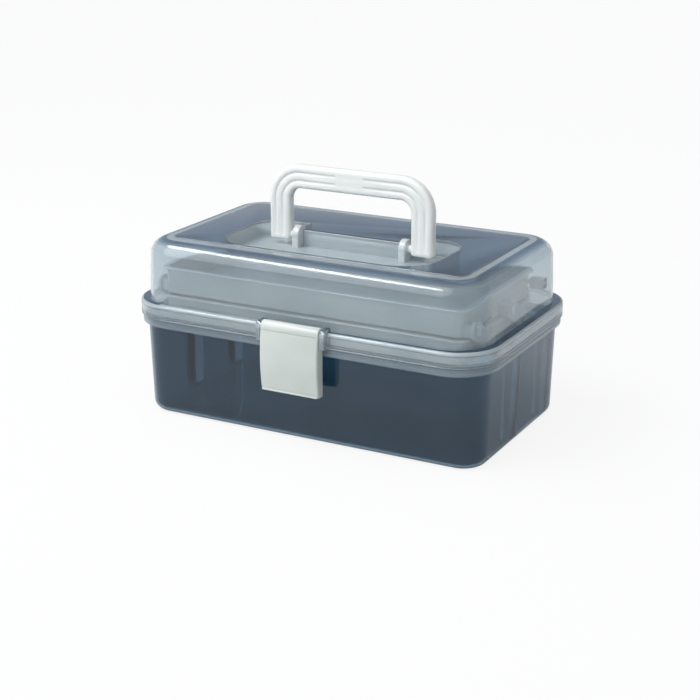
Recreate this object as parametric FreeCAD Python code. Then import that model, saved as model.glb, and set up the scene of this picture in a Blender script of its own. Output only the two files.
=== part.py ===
import FreeCAD, Part
import os
from math import cos, pi, sin

Vec = FreeCAD.Vector

# Lid skirt, the widest outline of the closed box
flange_length = 330.0
flange_width = 200.0
flange_radius = 38.0
skirt_height = 13.0
skirt_edge_bevel = 2.0

# Moulded walls
wall = 2.0
tray_wall = 1.6
floor_thickness = 2.2
outer_edge_steps = 3
inner_edge_steps = 1

# Base tub, measured at its underside
base_end_setback = 8.5
base_side_setback = 13.5
base_radius = 22.0
base_draft = 0.031
base_edge_radius = 9.0
base_height = 88.0

# Rim of the base tub
rim_inset = 1.4
rim_drop = 6.5
rim_plate = 2.2

# Lid above its skirt, measured at the ledge
lid_height = 66.0
ledge_end = 8.5
ledge_side = 5.5
lid_radius = 33.0
lid_draft = 0.035
lid_shoulder_radius = 14.0
panel_end_room = 21.5
panel_side_room = 24.5
panel_radius = 8.0
panel_step = 0.8
lid_gap = 0.4

# Carry handle
handle_length = 154.0
handle_reach = 61.0
handle_radius = 30.0
grip_width = 20.0
grip_thickness = 10.0
grip_inner_radius = 12.0
grip_edge_bevel = 1.8
grip_groove_width = 1.6
grip_groove_depth = 0.9
grip_patch_length = 25.0
handle_pivot_drop = 4.0
trunnion_radius = 3.6

# Well in the lid top that takes the folded handle
well_depth = 14.0
well_slope = 6.0
well_side_room = 20.0
well_front_room = 5.0
well_rear = 24.0
well_front_radius = 34.0
well_rear_radius = 22.0
ear_gap = 3.5
ear_thickness = 6.0
ear_radius = 8.0
island_setback = 1.0

# Front latch
latch_width = 53.0
latch_drop = 52.5
latch_bulge = 7.5
latch_skin = 2.6
latch_side_wall = 2.0
latch_barrel_radius = 5.5
latch_pin_radius = 1.5
latch_pin_forward = 1.0
latch_pin_rise = 12.0
latch_bulge_share = 0.45
latch_foot_setback = 0.5
latch_lip = 1.2
lug_thickness = 4.5
lug_radius = 4.6
hook_height = 3.0
hook_drop = 1.2
hook_width = 40.0

# Rear hinges
hinge_radius = 4.0
hinge_gap = 0.5
hinge_pin_radius = 1.5
hinge_end_room = 70.0
hinge_width = 44.0
lid_knuckle_width = 21.0
knuckle_gap = 0.4
hinge_pin_setback = 0.5

# Swinging arms
arm_reach = 54.0
arm_rise = 33.0
arm_spacing = 66.0
arm_thickness = 3.0
arm_half_width = 7.5
pivot_drop = 9.0
pivot_radius = 1.8
pivot_head_radius = 4.2
pivot_head = 1.5
pivot_head_sides = 12
rib_thickness = 1.7
post_depth = 10.8
post_width = 17.0
post_rise = 7.0

# Trays
tray_height = 23.0
tray_rear_room = 31.7
tray_radius = 6.0
tray_edge_bevel = 2.0
tray_rim_end = 4.0
tray_rim_side = 3.0
tray_rim_thickness = 1.6
tray_stack_gap = 1.5
tray_sink = 6.0
tray_front_room = 11.0
tray_pad_depth = 5.7
tray_pad_width = 11.0
pivot_room = 3.4

# Clearances, the wall left at the end of a blind bore, and the length by which a cutting
# body runs past a face
blind_end = 1.0
overcut = 1.0
running_gap = 0.3
pin_gap = 0.10
fit_gap = 0.05

# Sizes that follow from the ones above
flange_x = flange_length / 2
flange_y = flange_width / 2
base_x = flange_x - base_end_setback
base_y = flange_y - base_side_setback
rim_x = flange_x - rim_inset
rim_y = flange_y - rim_inset
rim_radius = flange_radius - rim_inset
skirt_bottom = base_height + lid_gap
ledge_z = skirt_bottom + skirt_height
lid_wall_x = flange_x - ledge_end
lid_wall_y = flange_y - ledge_side
box_height = base_height + lid_height
shoulder_z = box_height - panel_step
handle_z = box_height - handle_pivot_drop
handle_x = handle_length / 2
handle_inner_x = handle_x - grip_width
ear_face_x = handle_inner_x - ear_gap
well_floor = box_height - well_depth
hinge_y = flange_y + hinge_gap + hinge_radius
hinge_z = base_height
hinge_centre = flange_x - hinge_end_room
latch_pin_y = -(flange_y + latch_pin_forward)
latch_pin_z = base_height + latch_pin_rise
latch_front_y = latch_pin_y - latch_barrel_radius
base_inner_x = base_x + base_draft * base_height - wall
base_inner_y = base_y + base_draft * base_height - wall
post_face = base_inner_x - post_depth
arm_outer = post_face - running_gap
arm_inner = arm_outer - arm_thickness
tray_boss_face = arm_inner - running_gap
tray_x = tray_boss_face - tray_pad_depth
lower_tray_z = base_height - tray_sink
upper_tray_z = lower_tray_z + tray_height + tray_stack_gap
upper_tray_top = upper_tray_z + tray_height
lid_inner_y = lid_wall_y - lid_draft * (upper_tray_top - ledge_z) - wall
tray_front = -(lid_inner_y - tray_front_room) + tray_rim_side
lower_tray_rear = base_inner_y - tray_rear_room
pivot_z = base_height - pivot_drop
pivot_inset = tray_radius + pivot_room
front_pivot_y = tray_front + pivot_inset + arm_reach
rear_pivot_y = front_pivot_y + arm_spacing
link_y = hinge_y - arm_reach
link_z = hinge_z + arm_rise
upper_tray_rear = link_y + pivot_inset
rib_half = rib_thickness / 2
key_half = (pivot_radius ** 2 - rib_half ** 2) ** 0.5


def rounded_wire(half_x, front, rear, front_radius, rear_radius, z):
    """Closed outline of a rectangle whose front and rear corners have their own radii."""
    corners = [
        (half_x, rear, rear_radius, 0),
        (-half_x, rear, rear_radius, 1),
        (-half_x, front, front_radius, 2),
        (half_x, front, front_radius, 3),
    ]
    arcs = []
    for x, y, radius, quarter in corners:
        side_x = 1 if x > 0 else -1
        side_y = 1 if quarter < 2 else -1
        centre = Vec(x - side_x * radius, y - side_y * radius, z)
        start = quarter * pi / 2
        points = [centre + Vec(radius * cos(a), radius * sin(a), 0)
                  for a in (start, start + pi / 4, start + pi / 2)]
        arcs.append(points)
    edges = []
    for number, points in enumerate(arcs):
        edges.append(Part.Arc(*points).toShape())
        following = arcs[(number + 1) % 4][0]
        if (following - points[2]).Length > 1e-6:
            edges.append(Part.LineSegment(points[2], following).toShape())
    return Part.Wire(edges)


def ring_wire(half_x, half_y, radius, z):
    return rounded_wire(half_x, -half_y, half_y, radius, radius, z)


def slab(wire, height):
    """Solid of a flat outline raised by a height."""
    return Part.Face(wire).extrude(Vec(0, 0, height))


def loft(lower, upper):
    return Part.makeLoft([lower, upper], True, True)


def box(x0, x1, y0, y1, z0, z1):
    return Part.makeBox(x1 - x0, y1 - y0, z1 - z0, Vec(x0, y0, z0))


def rod(x0, x1, y, z, radius):
    """Round bar along X."""
    return Part.makeCylinder(radius, x1 - x0, Vec(x0, y, z), Vec(1, 0, 0))


def mirrored(shape):
    return shape.mirror(Vec(0, 0, 0), Vec(1, 0, 0))


def both_ends(shape):
    return [shape, mirrored(shape)]


def level_edges(shape, z):
    """Edges that lie wholly at one height."""
    found = []
    for edge in shape.Edges:
        if abs(edge.BoundBox.ZMin - z) < 1e-4 and abs(edge.BoundBox.ZMax - z) < 1e-4:
            found.append(edge)
    return found


def extruded_x(points, x0, x1):
    """Solid of a side profile, given as (y, z) points, between two X places."""
    wire = Part.makePolygon([Vec(x0, y, z) for y, z in points + points[:1]])
    return Part.Face(wire).extrude(Vec(x1 - x0, 0, 0))


def export(name, solids):
    shape = solids[0] if len(solids) == 1 else Part.makeCompound(solids)
    shape.exportStep(os.path.join("parts", name + ".step"))


def base_outline(z, inset, edge=0.0):
    """Tub outline at a height, moved inwards by a wall and by a share of the edge rounding."""
    growth = base_draft * z - inset - edge
    return ring_wire(base_x + growth, base_y + growth, base_radius - inset - edge, z)


def rounded_stack(outline, z_edge, radius, z_far, inset, steps):
    """Body lofted from a rounded edge at z_edge to a plain outline at z_far."""
    side = 1 if z_far > z_edge else -1
    join = z_edge + side * radius
    rings = []
    for step in range(steps + 1):
        angle = step * pi / 2 / steps
        ring = outline(join, inset, radius * (1 - sin(angle)))
        ring.translate(Vec(0, 0, -side * radius * cos(angle)))
        rings.append(ring)
    rings.append(outline(z_far, inset))
    return Part.makeLoft(rings if side > 0 else rings[::-1], True, True)


def base_shell():
    """Tub walls with a rounded bottom edge."""
    outer = rounded_stack(base_outline, 0, base_edge_radius, base_height, 0, outer_edge_steps)
    inner = rounded_stack(base_outline, floor_thickness, base_edge_radius - wall,
                          base_height + overcut, wall, inner_edge_steps)
    return outer.cut(inner)


def base_rim():
    """Flange round the top of the tub: a plate and a hanging lip."""
    top = base_height
    bottom = top - rim_drop
    ring = slab(ring_wire(rim_x, rim_y, rim_radius, bottom), rim_drop)
    hollow = slab(ring_wire(rim_x - wall, rim_y - wall, rim_radius - wall, bottom - overcut),
                  rim_drop - rim_plate + overcut)
    bore = loft(base_outline(bottom - overcut, wall / 2),
                base_outline(top + overcut, wall / 2))
    return ring.cut(hollow).cut(bore)


def end_post(y):
    """Post on the right end wall that carries one arm pivot."""
    reach = base_inner_x + wall / 2
    top = pivot_z + post_rise
    post = box(post_face, reach, y - post_width / 2, y + post_width / 2,
               floor_thickness / 2, top)
    inside = rounded_stack(base_outline, wall / 2, base_edge_radius - wall / 2,
                           base_height, wall / 2, inner_edge_steps)
    return post.common(inside)


def knuckle(x0, x1, below):
    """One hinge barrel with the web that ties it to the base rim or to the lid skirt."""
    barrel = rod(x0, x1, hinge_y, hinge_z, hinge_radius)
    if below:
        web = box(x0, x1, rim_y - wall / 2, hinge_y, hinge_z - hinge_radius, hinge_z)
    else:
        web = box(x0, x1, flange_y - wall / 2, hinge_y, skirt_bottom, hinge_z + hinge_radius)
    return barrel.fuse(web)


def hinge_spans():
    """X spans of one hinge: two base knuckles with the lid knuckle between them."""
    half = hinge_width / 2
    middle = lid_knuckle_width / 2
    return ((hinge_centre - half, hinge_centre - middle - knuckle_gap),
            (hinge_centre - middle, hinge_centre + middle),
            (hinge_centre + middle + knuckle_gap, hinge_centre + half))


def base_tub():
    tub = base_shell().fuse(base_rim())
    extras = []
    for y in (front_pivot_y, rear_pivot_y):
        extras += both_ends(end_post(y))
    first, middle, last = hinge_spans()
    for x0, x1 in (first, last):
        extras += both_ends(knuckle(x0, x1, True))
    tub = tub.fuse(extras)
    bores = []
    bore_end = post_face + post_depth - wall
    for y in (front_pivot_y, rear_pivot_y):
        bores += both_ends(key_hole(post_face - overcut, bore_end, y, pivot_z))
    bores += both_ends(rod(first[0] - overcut, last[1] + overcut, hinge_y, hinge_z,
                           hinge_pin_radius + fit_gap))
    return tub.cut(bores).removeSplitter()


def well_body(grow, z_top):
    """Tapered body of the handle well; grow adds the wall thickness round it."""
    half_x = handle_x + well_side_room
    front = -(handle_reach + well_front_room)
    floor = well_floor - grow
    upper = rounded_wire(half_x + grow, front - grow, well_rear + grow,
                         well_front_radius + grow, well_rear_radius + grow, box_height)
    slope = well_slope - grow
    lower = rounded_wire(half_x - slope, front + slope, well_rear - slope,
                         well_front_radius - slope, well_rear_radius - slope, floor)
    body = loft(lower, upper)
    if z_top > box_height:
        cap = rounded_wire(half_x + grow, front - grow, well_rear + grow,
                           well_front_radius + grow, well_rear_radius + grow, box_height)
        body = body.fuse(slab(cap, z_top - box_height))
    return body


def island_block(inset):
    """Raised island between the handle legs; inset leaves its own wall."""
    return box(-ear_face_x + inset, ear_face_x - inset, island_setback + inset,
               well_rear + wall + overcut, well_floor - wall - overcut,
               box_height + 2 * overcut)


def lid_outline(z, inset, edge=0.0):
    """Lid outline at a height, moved inwards by a wall and by a share of the shoulder."""
    shrink = lid_draft * (z - ledge_z) + inset + edge
    return ring_wire(lid_wall_x - shrink, lid_wall_y - shrink, lid_radius - inset - edge, z)


def lid_walls():
    """Drafted walls and top of the lid, with the handle well sunk into it."""
    outer = rounded_stack(lid_outline, shoulder_z, lid_shoulder_radius, ledge_z - wall, 0,
                          outer_edge_steps)
    panel = slab(ring_wire(lid_wall_x - panel_end_room, lid_wall_y - panel_side_room,
                           panel_radius, shoulder_z - wall / 2), wall / 2 + panel_step)
    well = well_body(0, box_height + overcut).cut(island_block(0))
    inner = rounded_stack(lid_outline, shoulder_z - wall, lid_shoulder_radius - wall,
                          ledge_z - wall - overcut, wall, inner_edge_steps)
    jacket = well_body(wall, box_height).cut(island_block(wall))
    return outer.fuse(panel).cut(well).cut(inner.cut(jacket))


def lid_skirt():
    """Ledge and hanging skirt that sit over the rim of the base."""
    skirt = slab(ring_wire(flange_x, flange_y, flange_radius, skirt_bottom), skirt_height)
    skirt = skirt.makeChamfer(skirt_edge_bevel, level_edges(skirt, ledge_z))
    hollow = slab(ring_wire(flange_x - wall, flange_y - wall, flange_radius - wall,
                            skirt_bottom - overcut), skirt_height - wall + overcut)
    bore = slab(lid_outline(ledge_z - wall - overcut, wall / 2), wall + 2 * overcut)
    return skirt.cut(hollow).cut(bore)


def handle_ear():
    """Rounded ear at the right end of the island, with the bore for the handle trunnion."""
    x0 = ear_face_x - ear_thickness
    ear = rod(x0, ear_face_x, 0, handle_z, ear_radius)
    foot = box(x0, ear_face_x, -ear_radius, ear_radius, well_floor - wall / 2, handle_z)
    back = box(x0, ear_face_x, 0, island_setback + 2 * wall, handle_z, box_height)
    bore = rod(x0 + blind_end, ear_face_x + overcut, 0, handle_z, trunnion_radius + pin_gap)
    return ear.fuse([foot, back]), bore


def link_boss():
    """Boss inside the right lid end wall that carries the upper tray's rear pivot."""
    reach = lid_wall_x - lid_draft * (link_z - ledge_z) - wall / 2
    face = tray_x + tray_rim_end + running_gap
    boss = box(face, reach, link_y - pivot_head_radius, link_y + pivot_head_radius,
               link_z - pivot_head_radius, link_z + pivot_head_radius)
    bore = key_hole(face - overcut, reach - wall, link_y, link_z)
    return boss, bore


def latch_bay():
    """Opening in the lid skirt for the latch, its two lugs and the wall behind."""
    half = latch_width / 2 + running_gap
    back = latch_pin_y + latch_barrel_radius + running_gap
    opening = box(-half, half, -flange_y - overcut, back, skirt_bottom - overcut,
                  ledge_z + overcut)
    outer_half = half + lug_thickness
    rear_wall = box(-outer_half, outer_half, back, back + wall, skirt_bottom, ledge_z)
    lug = rod(half, outer_half, latch_pin_y, latch_pin_z, lug_radius)
    lug = lug.fuse(box(half, outer_half, latch_pin_y, back + wall / 2,
                       skirt_bottom, latch_pin_z + lug_radius))
    lug = lug.fuse(box(half, outer_half, latch_pin_y - lug_radius, latch_pin_y,
                       skirt_bottom, latch_pin_z))
    bore = rod(-outer_half + blind_end, outer_half - blind_end, latch_pin_y, latch_pin_z,
               latch_pin_radius + fit_gap)
    return opening, [rear_wall] + both_ends(lug), bore


def lid_shell():
    walls = lid_walls()
    opening, bay_solids, pin_bore = latch_bay()
    skirt = lid_skirt().cut(opening)
    ear, ear_bore = handle_ear()
    boss, boss_bore = link_boss()
    first, middle, last = hinge_spans()
    extras = [skirt] + bay_solids + both_ends(ear) + both_ends(boss)
    extras += both_ends(knuckle(middle[0], middle[1], False))
    shell = walls.fuse(extras)
    bores = both_ends(ear_bore) + both_ends(boss_bore) + [pin_bore]
    bores += both_ends(rod(middle[0] - overcut, middle[1] + overcut, hinge_y, hinge_z,
                           hinge_pin_radius + pin_gap))
    return shell.cut(bores).removeSplitter()


def arch_wire(half_x, top, radius, bottom, y):
    """Upside-down U outline of the handle, closed along its foot line."""
    left = Vec(-half_x, y, bottom)
    left_up = Vec(-half_x, y, top - radius)
    left_mid = Vec(-half_x + radius * (1 - cos(pi / 4)), y, top - radius * (1 - sin(pi / 4)))
    left_top = Vec(-half_x + radius, y, top)
    points = [left, left_up, left_mid, left_top]
    right = [Vec(-p.x, p.y, p.z) for p in points]
    edges = [
        Part.LineSegment(left, left_up).toShape(),
        Part.Arc(left_up, left_mid, left_top).toShape(),
        Part.LineSegment(left_top, right[3]).toShape(),
        Part.Arc(right[3], right[2], right[1]).toShape(),
        Part.LineSegment(right[1], right[0]).toShape(),
        Part.LineSegment(right[0], left).toShape(),
    ]
    return Part.Wire(edges)


def arch(half_x, top, radius, bottom, y0, y1):
    wire = arch_wire(half_x, top, radius, bottom, y0)
    return Part.Face(wire).extrude(Vec(0, y1 - y0, 0))


def carry_handle():
    """Bail handle: arch with rounded feet, two grooves on its front and two trunnions."""
    top = handle_z + handle_reach
    half = grip_thickness / 2
    low = handle_z - half
    body = arch(handle_x, top, handle_radius, low - overcut, -half, half)
    body = body.cut(arch(handle_inner_x, top - grip_width, grip_inner_radius,
                         low - 2 * overcut, -half - overcut, half + overcut))
    rims = [edge for edge in body.Edges
            if edge.BoundBox.YLength < 1e-6 and edge.BoundBox.ZMax > low]
    body = body.makeChamfer(grip_edge_bevel, rims)
    outer = handle_x + overcut
    foot = rod(-outer, outer, 0, handle_z, half)
    foot = foot.fuse(box(-outer, outer, -half, half, handle_z, top + overcut))
    body = body.common(foot)
    patch = box(-grip_patch_length / 2, grip_patch_length / 2, -half - overcut, half,
                top - grip_width, top)
    cuts = []
    for number in (1, 2):
        offset = grip_width * number / 3 - grip_groove_width / 2
        inner = offset + grip_groove_width
        bottom = grip_groove_depth - half
        band = arch(handle_x - offset, top - offset, handle_radius - offset, handle_z,
                    -half - overcut, bottom)
        core = arch(handle_x - inner, top - inner,
                    max(handle_radius - inner, grip_inner_radius), handle_z - overcut,
                    -half - 2 * overcut, bottom + overcut)
        cuts.append(band.cut(core).cut(patch))
    body = body.cut(cuts)
    trunnion = rod(ear_face_x - ear_thickness + blind_end + running_gap,
                   handle_inner_x + overcut, 0, handle_z, trunnion_radius)
    return body.fuse(both_ends(trunnion)).removeSplitter()


def latch_curve(depth, low):
    """Front curve of the latch from its barrel down to its lower edge, at a depth."""
    top = Vec(0, latch_front_y + depth, latch_pin_z)
    middle = Vec(0, latch_pin_y - latch_bulge + depth,
                 latch_pin_z - latch_drop * latch_bulge_share)
    bottom = Vec(0, latch_front_y + latch_foot_setback + depth, low)
    return top, middle, bottom


def latch_slice(depth_in, depth_out, low, x0, x1):
    """Band between two depths behind the front curve of the latch."""
    a_top, a_mid, a_low = latch_curve(depth_in, low)
    b_top, b_mid, b_low = latch_curve(depth_out, low)
    edges = [
        Part.Arc(a_top, a_mid, a_low).toShape(),
        Part.LineSegment(a_low, b_low).toShape(),
        Part.Arc(b_low, b_mid, b_top).toShape(),
        Part.LineSegment(b_top, a_top).toShape(),
    ]
    face = Part.Face(Part.Wire(edges))
    face.translate(Vec(x0, 0, 0))
    return face.extrude(Vec(x1 - x0, 0, 0))


def front_latch():
    """Curved snap latch: skin, side walls, barrel, catch rib and a lip to lift it by."""
    half = latch_width / 2
    low = latch_pin_z - latch_drop
    skin = latch_slice(0, latch_skin, low, -half, half)
    side_depth = latch_barrel_radius + flange_y - rim_y + latch_pin_forward - running_gap
    side = latch_slice(latch_skin / 2, side_depth, low, half - latch_side_wall, half)
    barrel = rod(-half, half, latch_pin_y, latch_pin_z, latch_barrel_radius)
    hook_top = base_height - rim_drop - hook_drop
    hook = box(-hook_width / 2, hook_width / 2, latch_pin_y - latch_bulge + latch_skin / 2,
               -rim_y - running_gap, hook_top - hook_height, hook_top)
    foot_y = latch_front_y + latch_foot_setback
    lip = box(-half, half, foot_y + latch_skin / 2, foot_y + latch_skin + latch_lip,
              low, low + latch_skin)
    latch = skin.fuse(both_ends(side) + [barrel, hook, lip])
    bore = rod(-half - overcut, half + overcut, latch_pin_y, latch_pin_z,
               latch_pin_radius + pin_gap)
    return latch.cut(bore).removeSplitter()


def tray_outline(z, grow_x, grow_y, rear):
    radius = tray_radius + min(grow_x, grow_y)
    return rounded_wire(tray_x + grow_x, tray_front - grow_y, rear + grow_y,
                        radius, radius, z)


def tray(bottom, rear):
    """Open tray with a bevelled bottom edge and a turned-out rim."""
    top = bottom + tray_height
    outer = slab(tray_outline(bottom, 0, 0, rear), tray_height)
    outer = outer.makeChamfer(tray_edge_bevel, level_edges(outer, bottom))
    inner = slab(tray_outline(bottom + tray_wall, -tray_wall, -tray_wall, rear), tray_height)
    rim = slab(tray_outline(top - tray_rim_thickness, tray_rim_end, tray_rim_side, rear),
               tray_rim_thickness)
    return outer.fuse(rim).cut(inner)


def tray_with_pivots(bottom, rear, pivots, link):
    """Tray with a pad for each arm pivot and, on the upper one, a hole for the lid link."""
    body = tray(bottom, rear)
    half = tray_pad_width / 2
    pads = []
    bores = []
    for y, z in pivots:
        low = max(z - half, bottom)
        pads += both_ends(box(tray_x - tray_wall / 2, tray_boss_face, y - half, y + half,
                              low, z + half))
        bores += both_ends(key_hole(tray_x - tray_wall - overcut, tray_boss_face + overcut,
                                    y, z))
    for y, z in link:
        bores += both_ends(rod(tray_x - tray_wall - overcut, tray_x + overcut, y, z,
                               pivot_radius + pin_gap))
    return body.fuse(pads).cut(bores).removeSplitter()


def arm_points(y):
    """Base, lower tray and upper tray pivots of the arm that starts at y."""
    return ((y, pivot_z),
            (y - arm_reach / 2, pivot_z + arm_rise / 2),
            (y - arm_reach, pivot_z + arm_rise))


def arm_blade(start, end, radius, x0, x1):
    """Plate with round ends between two pivots."""
    length = ((end[0] - start[0]) ** 2 + (end[1] - start[1]) ** 2) ** 0.5
    side_y = -(end[1] - start[1]) / length * radius
    side_z = (end[0] - start[0]) / length * radius
    corners = [(start[0] + side_y, start[1] + side_z), (end[0] + side_y, end[1] + side_z),
               (end[0] - side_y, end[1] - side_z), (start[0] - side_y, start[1] - side_z)]
    blade = extruded_x(corners, x0, x1)
    return blade.fuse([rod(x0, x1, start[0], start[1], radius),
                       rod(x0, x1, end[0], end[1], radius)])


def arm(y):
    """Right-hand arm: a flat blade with three pivot holes."""
    base, lower, upper = arm_points(y)
    blade = arm_blade(base, upper, arm_half_width, arm_inner, arm_outer)
    holes = [rod(arm_inner - overcut, arm_outer + overcut, point[0], point[1],
                 pivot_radius + pin_gap)
             for point in (base, lower, upper)]
    return blade.cut(holes).removeSplitter()


def rivet(tip, head_x, y, z):
    """Moulded rivet: a shaft shaped like a plus and a flat head with many short sides."""
    outward = 1 if head_x > tip else -1
    low = min(tip, head_x)
    high = max(tip, head_x)
    upright = box(low, high, y - rib_half, y + rib_half, z - key_half, z + key_half)
    level = box(low, high, y - key_half, y + key_half, z - rib_half, z + rib_half)
    turns = [2 * pi * number / pivot_head_sides for number in range(pivot_head_sides)]
    outline = [(y + pivot_head_radius * cos(turn), z + pivot_head_radius * sin(turn))
               for turn in turns]
    head = extruded_x(outline, head_x, head_x + outward * pivot_head)
    return head.fuse([upright, level]).removeSplitter()


def key_hole(x0, x1, y, z):
    """Square hole that holds the shaft of a rivet and keeps it from turning."""
    half = key_half + fit_gap
    return box(x0, x1, y - half, y + half, z - half, z + half)


def base_rivet(y):
    """Rivet through an arm into the base post, with its head towards the trays."""
    tip = post_face + post_depth - wall - running_gap
    return rivet(tip, arm_inner - running_gap, y, pivot_z)


def tray_rivet(y, z):
    """Rivet through an arm and the pad on a tray, with its head towards the lid wall."""
    return rivet(tray_x - tray_wall - running_gap, arm_outer + running_gap, y, z)


def link_stud():
    """Stud from the lid boss through the end wall of the upper tray."""
    reach = lid_wall_x - lid_draft * (link_z - ledge_z) - wall / 2 - wall - running_gap
    tip = tray_x - tray_wall - running_gap
    return rivet(reach, tip, link_y, link_z)


def main():
    os.makedirs("parts", exist_ok=True)
    export("base_tub", [base_tub()])
    export("lid_shell", [lid_shell()])
    export("carry_handle", [carry_handle()])
    export("front_latch", [front_latch()])
    half_pin = latch_width / 2 + running_gap + lug_thickness - blind_end - fit_gap
    export("latch_pin", [rod(-half_pin, half_pin, latch_pin_y, latch_pin_z,
                             latch_pin_radius)])
    first, middle, last = hinge_spans()
    hinge_pin = rod(first[0] + hinge_pin_setback, last[1] - hinge_pin_setback,
                    hinge_y, hinge_z, hinge_pin_radius)
    front = arm_points(front_pivot_y)
    rear = arm_points(rear_pivot_y)
    export("lower_tray", [tray_with_pivots(lower_tray_z, lower_tray_rear,
                                           (front[1], rear[1]), ())])
    export("upper_tray", [tray_with_pivots(upper_tray_z, upper_tray_rear,
                                           (front[2], rear[2]), ((link_y, link_z),))])
    sides = {"right": lambda shape: shape, "left": mirrored}
    for side, place in sides.items():
        export("hinge_pin_" + side, [place(hinge_pin)])
        export("front_arm_" + side, [place(arm(front_pivot_y))])
        export("rear_arm_" + side, [place(arm(rear_pivot_y))])
        export("base_rivets_" + side,
               [place(base_rivet(front_pivot_y)), place(base_rivet(rear_pivot_y))])
        export("lower_tray_rivets_" + side,
               [place(tray_rivet(*front[1])), place(tray_rivet(*rear[1]))])
        export("upper_tray_rivets_" + side,
               [place(tray_rivet(*front[2])), place(tray_rivet(*rear[2]))])
        export("lid_link_stud_" + side, [place(link_stud())])


main()
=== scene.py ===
# %% [markdown]
# This lesson dresses a folding tool box of moulded polypropylene: a tinted tub, a frosted
# lid, two trays on swinging arms, a white handle and a white latch. The solid model comes
# first, because it fixes every size. Each piece modelled below then takes the place of one
# solid and keeps to its outline.

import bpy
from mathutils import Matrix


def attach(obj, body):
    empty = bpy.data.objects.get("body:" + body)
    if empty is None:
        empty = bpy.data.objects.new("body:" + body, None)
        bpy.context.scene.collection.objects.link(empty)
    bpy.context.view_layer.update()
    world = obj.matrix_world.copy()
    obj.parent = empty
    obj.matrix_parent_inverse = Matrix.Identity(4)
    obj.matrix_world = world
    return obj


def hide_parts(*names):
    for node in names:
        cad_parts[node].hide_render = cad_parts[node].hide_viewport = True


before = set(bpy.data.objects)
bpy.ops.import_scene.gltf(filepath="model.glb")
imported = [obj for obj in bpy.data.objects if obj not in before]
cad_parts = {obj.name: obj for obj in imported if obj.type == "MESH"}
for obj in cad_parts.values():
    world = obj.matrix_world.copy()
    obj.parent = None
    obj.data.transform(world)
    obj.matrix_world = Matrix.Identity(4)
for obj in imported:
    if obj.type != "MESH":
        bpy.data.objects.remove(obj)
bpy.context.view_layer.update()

# %% [markdown]
# All lengths below are typed in millimetres, as on a drawing, and MM turns them to metres.
# Faces could be picked by their numbers, but numbers change whenever a step is added. So
# they are picked by place: one helper clears the selection, one picks the faces, edges or
# points whose middle passes a test, and one makes a single piece active.

# %% Selection helpers
from math import cos, pi, radians, sin

import bmesh
import bpy
from mathutils import Vector

MM = 0.001


def select_nothing():
    """Leave edit mode and clear the selection."""
    if bpy.context.object and bpy.context.object.mode != "OBJECT":
        bpy.ops.object.mode_set(mode="OBJECT")
    bpy.ops.object.select_all(action="DESELECT")


def pick(kind, test):
    """Select the faces, edges or points whose middle passes a test, in edit mode."""
    bpy.ops.mesh.select_mode(type=kind)
    bpy.ops.mesh.select_all(action="DESELECT")
    mesh = bmesh.from_edit_mesh(bpy.context.object.data)
    items = {"VERT": mesh.verts, "EDGE": mesh.edges, "FACE": mesh.faces}[kind]
    count = 0
    for item in items:
        if kind == "VERT":
            middle = item.co
        elif kind == "EDGE":
            middle = (item.verts[0].co + item.verts[1].co) / 2
        else:
            middle = item.calc_center_median()
        if test(middle / MM, item):
            item.select_set(True)
            count += 1
    bmesh.update_edit_mesh(bpy.context.object.data)
    return count


def only(piece):
    """Make one piece the selected and active one."""
    select_nothing()
    piece.select_set(True)
    bpy.context.view_layer.objects.active = piece


# %% [markdown]
# A moulded edge is a quarter circle, because plastic cracks at a sharp corner. It could be
# bevelled at the end, but then its edges would have to be found again after every cut.
# Here it is a row of steps, each an inset and a rise, so a wall runs into its own edge.

# %% Edges as rows of steps
def round_over(radius, count=6):
    """Steps from an upright wall over to a level face."""
    angles = [pi / 2 * step / count for step in range(count + 1)]
    return [(radius * (cos(a) - cos(b)), radius * (sin(b) - sin(a)))
            for a, b in zip(angles, angles[1:])]


def round_in(radius, count=4):
    """Steps from a level face over to an upright wall."""
    return [(inset, rise) for rise, inset in round_over(radius, count)[::-1]]


def taper(draft, height, count=1):
    """Steps up a wall that leans in by the draft, so that it leaves its mould."""
    return [(draft * height / count, height / count)] * count


def down(steps):
    """The same steps, going down."""
    return [(inset, -rise) for inset, rise in steps]


print("a 2 mm edge in steps", round_over(2))

# %% [markdown]
# A moulded box is a flat outline that grows into walls. So each body starts as one plane
# with rounded corners, and insets carry its face on: an inset with a depth makes a sloped
# wall, and a row of small ones makes a round edge. A cube with bevels would be quicker,
# but its corners could not keep their radius on a tapered wall.

# %% Bodies made of steps
def stepped_body(name, half_x, front, rear, z, radii, steps, corner_segments=14):
    """Closed body that starts as a rounded outline at z and follows a list of steps."""
    select_nothing()
    bpy.ops.mesh.primitive_plane_add(size=2)
    body = bpy.context.object
    body.name = name
    bpy.ops.object.mode_set(mode="EDIT")
    bpy.ops.transform.resize(value=(half_x * MM, (rear - front) / 2 * MM, 1))
    bpy.ops.transform.translate(value=(0, (rear + front) / 2 * MM, z * MM))
    for corner_y, radius in zip((front, rear), radii):
        pick("VERT", lambda spot, item: abs(spot.y - corner_y) < 0.01
             and abs(abs(spot.x) - half_x) < 0.01)
        bpy.ops.mesh.bevel(offset=radius * MM, segments=corner_segments, affect="VERTICES")
    bpy.ops.mesh.select_mode(type="FACE")
    bpy.ops.mesh.select_all(action="SELECT")
    for inset, rise in steps:
        bpy.ops.mesh.inset(thickness=inset * MM, depth=rise * MM, use_even_offset=True)
    bpy.ops.mesh.select_mode(type="EDGE")
    bpy.ops.mesh.select_all(action="DESELECT")
    bpy.ops.mesh.select_non_manifold()
    bpy.ops.mesh.edge_face_add()
    bpy.ops.mesh.select_all(action="SELECT")
    bpy.ops.mesh.normals_make_consistent(inside=False)
    bpy.ops.object.mode_set(mode="OBJECT")
    return body


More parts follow.
